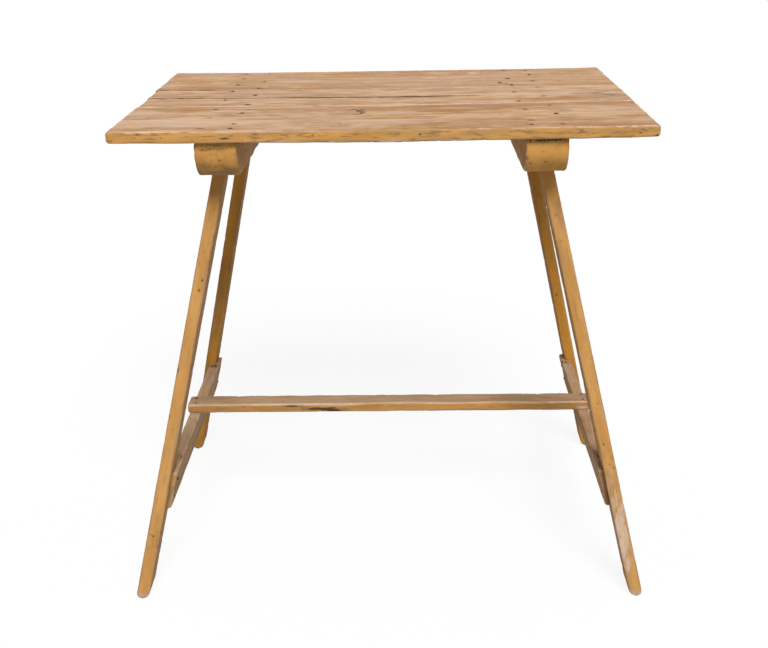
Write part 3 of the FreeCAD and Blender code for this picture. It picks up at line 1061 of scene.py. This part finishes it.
@dataclass
class LegSet:
    """The four splayed legs with their stub tenons, and the wear of each."""

    front: Material
    # The back legs' finish is darker, as painted shade.
    back: Material
    foot_round: float = 0.0115
    foot_blunt: float = 0.3
    dirt_share: float = 0.68
    dirt: dict[str, Spots] = field(default_factory=lambda: {
        "front_left_leg": (
            (-262.7, 657.5, 5, 14, 0.75), (-267.7, 605, 8, 14, 0.5), (-260, 631, 4, 4, 1),
            (-279, 567.5, 4, 4, 1), (-284.3, 522.5, 4, 4, 1.1), (-289.7, 507, 5, 6, 1.2),
            (-294, 521, 6, 10, 0.6), (-329, 382, 4, 8, 0.9), (-346.3, 305, 4, 10, 1),
            (-386.5, 110.8, 5, 3.2, 1.3), (-381.5, 108.2, 5, 3.2, 1.3), (-343, 285.5, 12, 3, 0.8),
            (-374.6, 169.8, 13, 3, 0.8), (-360.5, 250.5, 4, 8, 0.8), (-368, 215, 4, 9, 0.8),
            (-382.7, 152.8, 4, 8, 0.8), (-401.3, 71.4, 4, 7, 0.7)),
        "front_right_leg": (
            (261.8, 661, 4, 4, 1.1), (269.6, 634.6, 6, 12, 0.7), (267.3, 618, 5, 6, 0.8),
            (275.4, 578, 5, 5, 0.7), (324.4, 394.6, 4, 4, 1.1), (335.8, 321.2, 4, 4, 1.1),
            (346.1, 254.8, 4, 4, 1.2), (358.9, 235, 4, 4, 1), (361.5, 230.5, 4, 4, 1),
            (363.4, 216.6, 4, 5, 1), (332.5, 311.5, 10, 3, 0.6), (370, 187, 4, 6, 0.7)),
        "back_left_leg": (
            (-256, 655, 4, 4, 1.1), (-258, 645, 4, 5, 1.1), (-262, 610, 6, 10, 0.6),
            (-300, 460, 5, 12, 0.6)),
        "back_right_leg": (
            (262, 620, 6, 12, 0.6), (325, 352, 5, 6, 0.9), (290, 500, 5, 8, 0.5))})
    bare: tuple[Triple, ...] = (
        (200, 50, 0.6), (165, 50, 0.75), (130, 60, 0.9), (95, 50, 0.9), (60, 40, 0.5), (240, 30, 0.35))

    def build(self) -> None:
        """Make and place the legs."""
        for side, sx in SIDES:
            for row, sy in ROWS:
                self.leg(f"{row}_{side}_leg", sx, sy)

    def marks(self, node: str, foot: Points, run: Points, depth: float) -> Marks:
        """Wear of one leg, with painted warm bounce light at its top.

        Args:
            node: Its CAD node.
            foot: Middle of its foot.
            run: Its run for each metre of height.
            depth: Its depth from front to back.

        Returns:
            The spots of each kind.
        """
        def face(z: float) -> float:
            """Place of its front at a height."""
            return foot[1] + run[1] * z - depth / 2

        worn = [Mark((foot[0], foot[1], 0.0), (0.05, 0.06, 0.026), 0.9)]
        if node == "front_right_leg":
            for z, reach, strength in self.bare:
                x = foot[0] + run[0] * z * MM - 0.0015
                worn.append(Mark((x, face(z * MM), z * MM), (0.0135, 0.03, reach * MM), strength))
        # Painted light: the top of each leg, in the shade of the cleat, has its wash taken off so the ochre
        # reads warmer and brighter, as bounced light.
        painted_bounce_light = Mark(tuple(foot + run * 0.69), (0.05, 0.06, 0.09), -2.0)
        soil = in_front(self.dirt[node], face, 0.012, self.dirt_share)
        return {Line.STAIN: soil, Line.RUB: worn, Line.TONE: worn, Line.DULL: [painted_bounce_light]}

    def leg(self, node: str, sx: int, sy: int) -> None:
        """Make and place one leg.

        Args:
            node: Its CAD node.
            sx: -1 on the left, 1 on the right.
            sy: -1 at the front, 1 at the back.
        """
        foot, run, size = leg_line(node)
        inner, outer = inner_outer(sx)
        paint = {Face.UNDER: 1.0, Face.OVER: 1.0 if sy > 0 else 0.3, outer: 1.0, inner: 0.5}
        post = Timber(
            f"{node}_post", tuple(foot), SHOULDER, size[0], size[1], tuple(run), X, Y, paint,
            self.marks(node, foot, run, size[1]), Seed.LEGS + 2 * sx + sy, arris=0.0026, chip=0.0007,
            rounds=(self.foot_round, 0.0008), blunt=self.foot_blunt, pitch=0.0026, uneven=0.0004)
        stub = slab(node, SHOULDER + HAIR)
        sunk = 0.001
        tenon = Timber(
            f"{node}_tenon", (*stub.middle[:2], SHOULDER - sunk), stub.high[2] - SHOULDER + sunk,
            *stub.size[:2], Z, X, Y, seed=Seed.TENONS + 2 * sx + sy, arris=0.001, chip=0.0007,
            rounds=(0.0002, 0.0015), pitch=0.005, uneven=0.0003)
        mesh = joined(post.name, [post.mesh(), tenon.mesh()])
        set_piece(post.name, mesh, "base", [node], self.front if sy < 0 else self.back)


@dataclass
class RailFrame:
    """The two cross rails, lapped round the legs, and the long stretcher on them."""

    slot: str = STRETCHER_WOOD.name
    lap_slack: float = 0.0003
    lap_span: tuple[float, float] = (0.05, 0.35)

    def build(self) -> None:
        """Make and place the rails and the stretcher."""
        material = RAIL_WOOD.material()
        for side, sx in SIDES:
            self.rail(side, sx, material)
        self.stretcher(STRETCHER_WOOD.material())

    def rail(self, side: str, sx: int, material: Material) -> None:
        """Make and place one cross rail.

        Args:
            side: Left or right.
            sx: -1 on the left, 1 on the right.
            material: Its finish.
        """
        node = f"{side}_cross_rail"
        box = whole(node)
        (_, front, floor), (_, back, roof), (_, length, height) = box.low, box.high, box.size
        under, over = level(node, floor), level(node, roof)
        x, _, z = (under.middle + over.middle) / 2
        lean, top = (over.middle - under.middle)[0] / height, over.middle[0]
        inner, outer = inner_outer(sx)
        paint = {Face.START: 0.55, Face.END: 0.8, outer: 1.0, inner: 0.45, Face.OVER: 0.22, Face.UNDER: 0.5}
        chip = Mark((top - sx * 0.004, -0.034, roof), (0.016, 0.018, 0.012), 1.0)
        worn = [chip, Mark((x, 0.0, z), (0.06, 0.22, 0.03), 0.45)]
        soil = [Mark((top, front + 0.06, roof), (0.02, 0.03, 0.012), 0.6),
                Mark((top, back - 0.05, roof), (0.02, 0.02, 0.02), 0.7),
                # Painted shade: this stain and the dull mark below darken the middle of the rail's top,
                # under the table.
                Mark((top, 0.0, roof + 0.004), (0.04, 0.9, 0.007), 0.5)]
        dull = [Mark((top, 0.0, roof + 0.004), (0.03, 0.5, 0.02), 0.6)]
        tone = [chip] if sx < 0 else [chip, Mark((top, -0.07, roof), (0.05, 0.17, 0.05), -0.7)]
        timber = Timber(
            f"{node}_bar", (x, front, z), length, over.size[0], height, Y, X, (lean, 0, 1), paint,
            {Line.RUB: worn, Line.STAIN: soil, Line.TONE: tone, Line.DULL: dull}, Seed.RAILS + sx,
            arris=0.003, chip=0.0010, rounds=(0.004, 0.006))
        mesh = timber.mesh([self.lap(f"{row}_{side}_leg") for row, _ in ROWS])
        set_piece(timber.name, mesh, "base", [node], material)

    def lap(self, leg: str) -> Mesh:
        """A block a little larger than a leg, for its notch in the rail."""
        foot, run, size = leg_line(leg)
        low, high = (foot + run * z for z in self.lap_span)
        return block(f"{leg}_lap", low, high, size / 2 + self.lap_slack)

    def stretcher(self, material: Material) -> None:
        """Make and place the long stretcher.

        Args:
            material: Its finish.
        """
        node = "long_stretcher"
        box = whole(node)
        (left, front, floor), (right, _, roof) = box.low, box.high
        paint = {Face.NEAR: 1.0, Face.FAR: 1.0, Face.START: 0.8, Face.END: 0.8, Face.OVER: 0.05,
                 Face.UNDER: 0.4}
        soil = [Mark((-0.1207, front, floor + 0.006), (0.055, 0.012, 0.006), 1.0),
                Mark((-0.100, front, floor + 0.003), (0.03, 0.012, 0.004), 1.0),
                Mark((-0.175, front, roof - 0.004), (0.035, 0.006, 0.003), 0.9),
                Mark((-0.227, front, floor + 0.008), (0.03, 0.006, 0.005), 0.5)]
        arris = Mark((0.0, front, roof), (0.60, 0.006, 0.006), 1.5)
        end = Mark((right - 0.014, front, floor + 0.004), (0.016, 0.01, 0.006), 1.0)
        timber = Timber(
            f"{node}_bar", (left, *box.middle[1:]), *box.size, paint=paint, seed=Seed.STRETCHER,
            marks={Line.STAIN: soil, Line.RUB: [end], Line.TONE: [arris, end]})
        set_piece(timber.name, timber.mesh(), "base", [node], material)


# Nails


@dataclass
class NailTree:
    """A node tree that sets a hammered head on every point, facing the way the point says."""

    size: float = 0.0064
    dome: float = 0.30
    seed: int = int(Seed.NAILS)

    def group(self) -> bpy.types.NodeTree:
        """Build the tree.

        Returns:
            The node group, with inputs for size, dome, seed and material.
        """
        tree = bpy.data.node_groups.new("nail_heads", "GeometryNodeTree")
        inputs = {"Points": "Geometry", "Head Size": "Float", "Dome": "Float", "Seed": "Int",
                  "Iron": "Material"}
        for label, kind in inputs.items():
            tree.interface.new_socket(label, in_out="INPUT", socket_type=f"NodeSocket{kind}")
        tree.interface.new_socket("Nails", in_out="OUTPUT", socket_type="NodeSocketGeometry")
        g = Graph(tree)
        sockets = tree.nodes.new("NodeGroupInput").outputs
        points, size, dome, seed, iron = (Wire(g, sockets[name]) for name in inputs)
        ball = g.add("GeometryNodeMeshUVSphere", None, {"Segments": 10, "Rings": 6, "Radius": 0.5}, "Mesh")
        ragged = g.add("ShaderNodeTexNoise", None, {"Scale": 1.7, "Detail": 1.0}, "Color")
        push = g.add("ShaderNodeVectorMath", {"operation": "SCALE"}, {0: ragged, "Scale": 0.35})
        head = g.add("GeometryNodeSetPosition", None, {"Geometry": ball, "Offset": push})
        facing = g.add("GeometryNodeInputNamedAttribute", {"data_type": "FLOAT_VECTOR"}, {"Name": "facing"},
                       "Attribute")
        aim = g.add("FunctionNodeAlignRotationToVector", {"axis": "Z"}, {"Vector": facing})
        chance = "FunctionNodeRandomValue", {"data_type": "FLOAT"}
        spin = g.add(*chance, {3: 2 * math.pi, "Seed": seed}, 1)
        about = g.add("ShaderNodeCombineXYZ", None, {2: spin})
        turn = g.add("FunctionNodeRotateRotation", {"rotation_space": "LOCAL"}, {0: aim, 1: about})
        wide = g.add(*chance, {2: 0.75, 3: 1.15, "Seed": seed}, 1) * size
        scale = g.add("ShaderNodeCombineXYZ", None, {0: wide, 1: wide, 2: wide * dome})
        heads = g.add("GeometryNodeInstanceOnPoints", None,
                      {"Points": points, "Instance": head, "Rotation": turn, "Scale": scale})
        real = g.add("GeometryNodeRealizeInstances", None, {"Geometry": heads})
        coated = g.add("GeometryNodeSetMaterial", None, {"Geometry": real, "Material": iron})
        g.close("NodeGroupOutput", coated, "Nails")
        return tree

    def heads(self, name: str, places: list[Vector], facings: list[Triple], material: Material) -> Mesh:
        """Set a head on each place.

        Args:
            name: Name of the mesh.
            places: Middles of the heads.
            facings: Which way each head looks.
            material: Their finish.

        Returns:
            One plain mesh of all the heads.
        """
        points = bpy.data.meshes.new(f"{name}_points")
        points.from_pydata([tuple(p) for p in places], [], [])
        write_line(points, "facing", np.array(facings))
        holder = link(points.name, points)
        maker = holder.modifiers.new("nail_heads", "NODES")
        maker.node_group = self.group()
        values = {"Head Size": self.size, "Dome": self.dome, "Seed": self.seed, "Iron": material}
        for item in maker.node_group.interface.items_tree:
            if item.in_out == "INPUT" and item.name in values:
                maker[item.identifier] = values[item.name]
        made = plain_mesh(holder)
        made.name = name
        bpy.data.objects.remove(holder)
        return made


@dataclass
class Nails:
    """All the nails, one mesh for each body."""

    finish: NailFinish = NailFinish()
    tree: NailTree = field(default_factory=NailTree)
    sunk: float = 0.0002
    rail_sunk: float = 0.0009
    top_nodes: tuple[str, ...] = tuple(f"{board}_nails" for board in BOARDS)
    stretcher_nodes: tuple[str, ...] = tuple(f"{side}_stretcher_nails" for side, _ in SIDES)

    def upright(self, nodes: tuple[str, ...]) -> list[Vector]:
        """Middles of the heads of nails that were driven down, for some CAD nodes."""
        return [Vector((*solid.middle[:2], solid.high[2] - self.sunk))
                for node in nodes for solid in islands(node)]

    def build(self) -> None:
        """Make and place the heads."""
        material = self.finish.material()
        tops = self.upright(self.top_nodes)
        places, nodes = self.upright(self.stretcher_nodes), list(self.stretcher_nodes)
        facings = [Z] * len(places)
        for side, sx in SIDES:
            for row, _ in ROWS:
                nodes.append(f"{row}_{side}_rail_nails")
                for solid in islands(nodes[-1]):
                    face = solid.high[0] if sx < 0 else solid.low[0]
                    places.append(Vector((face + sx * self.rail_sunk, *solid.middle[1:])))
                    facings.append((-sx, 0, 0))
        for body, middles, ways, stand_for in (("top", tops, [Z] * len(tops), list(self.top_nodes)),
                                               ("base", places, facings, nodes)):
            name = f"{body}_nail_heads"
            heads = self.tree.heads(name, middles, ways, material)
            set_piece(name, heads, body, stand_for, None)


# Studio


@dataclass
class Studio:
    """Camera, lights and the pale floor."""

    place: Triple = (0.0357, -2.0037, 1.0867)
    yaw: float = math.radians(-1.193)
    pitch: float = math.radians(19.762)
    roll: float = math.radians(-0.962)
    focal_pixels: float = 1197.4
    sensor: float = 36.0
    floor_reach: float = 40.0
    floor_grey: float = 0.45
    floor_veil: float = 0.12
    floor_glow: float = 0.892
    ambient: float = 0.32
    key_from: Triple = (0.14, -0.68, 0.72)
    key_strength: float = 2.67
    key_spread: float = math.radians(26)

    def camera(self) -> None:
        """Set the camera at the photograph's viewpoint."""
        data = bpy.data.cameras.new("camera")
        data.sensor_fit, data.sensor_width = "HORIZONTAL", self.sensor
        data.lens = self.focal_pixels * self.sensor / PHOTO_WIDTH
        holder = link("camera", data)
        turns = ((-self.yaw, "Z"), (math.pi / 2 - self.pitch, "X"), (self.roll, "Z"))
        pose = Matrix.Translation(self.place)
        for angle, axis in turns:
            pose = pose @ Matrix.Rotation(angle, 4, axis)
        holder.matrix_world = pose
        bpy.context.scene.camera = holder

    def key(self) -> None:
        """Hang the one soft lamp, high in front of the table and a little to the right."""
        data = bpy.data.lights.new("key", "SUN")
        data.energy, data.angle = self.key_strength, self.key_spread
        aim = (-Vector(self.key_from)).to_track_quat("-Z", "Y")
        link("key", data).matrix_world = aim.to_matrix().to_4x4()

    def split(self, g: Graph, kind: str, light: Wire, seen: Wire) -> None:
        """Close a tree with one shader for light and one for rays that show the background.

        Args:
            g: The tree's graph.
            kind: Type of its output node.
            light: Shader that lights the table.
            seen: Shader that is seen straight, mirrored or through glass.
        """
        camera, glossy, through = (g.add("ShaderNodeLightPath", output=f"Is {ray} Ray")
                                   for ray in ("Camera", "Glossy", "Transmission"))
        shows = camera.larger(glossy).larger(through)
        g.close(kind, g.add("ShaderNodeMixShader", None, {0: shows, 1: light, 2: seen}))

    def floor(self) -> None:
        """Lay the floor, white to the eye but for the table's shadow."""
        r = self.floor_reach
        mesh = bpy.data.meshes.new("floor")
        mesh.from_pydata([(-r, -r, 0), (r, -r, 0), (r, r, 0), (-r, r, 0)], [], [(0, 1, 2, 3)])
        made, g = new_material("floor")
        matt, veil = (g.add("ShaderNodeBsdfDiffuse", None, {"Color": (grey, grey, grey, 1)})
                      for grey in (self.floor_grey, self.floor_veil))
        glow = g.add("ShaderNodeEmission", None, {"Color": (1, 1, 1, 1), "Strength": self.floor_glow})
        white = g.add("ShaderNodeAddShader", None, {0: veil, 1: glow})
        self.split(g, "ShaderNodeOutputMaterial", matt, white)
        mesh.materials.append(made)
        link("floor", mesh)

    def sky(self) -> None:
        """Even light from all round, white where it is seen."""
        world = bpy.data.worlds.new("studio")
        bpy.context.scene.world = world
        world.use_nodes = True
        g = Graph(world.node_tree)
        dim, plain = (g.add("ShaderNodeBackground", None, {"Color": (1, 1, 1, 1), "Strength": strength})
                      for strength in (self.ambient, 1.0))
        self.split(g, "ShaderNodeOutputWorld", dim, plain)

    def build(self) -> None:
        """Set up the studio."""
        bpy.context.scene.view_settings.view_transform = "Standard"
        self.camera()
        self.key()
        self.sky()
        self.floor()


def main() -> None:
    """Build the table's looks in order."""
    logging.basicConfig(level=logging.INFO, format="%(message)s")
    nails = Nails()
    PlankTop().build(nails.upright(nails.top_nodes))
    ochre = OCHRE.material()
    CleatPair(CLEAT_OCHRE.material()).build()
    LegSet(ochre, SHADED_BACK_OCHRE.material()).build()
    RailFrame().build()
    nails.build()
    Studio().build()


if __name__ == "__main__":
    main()
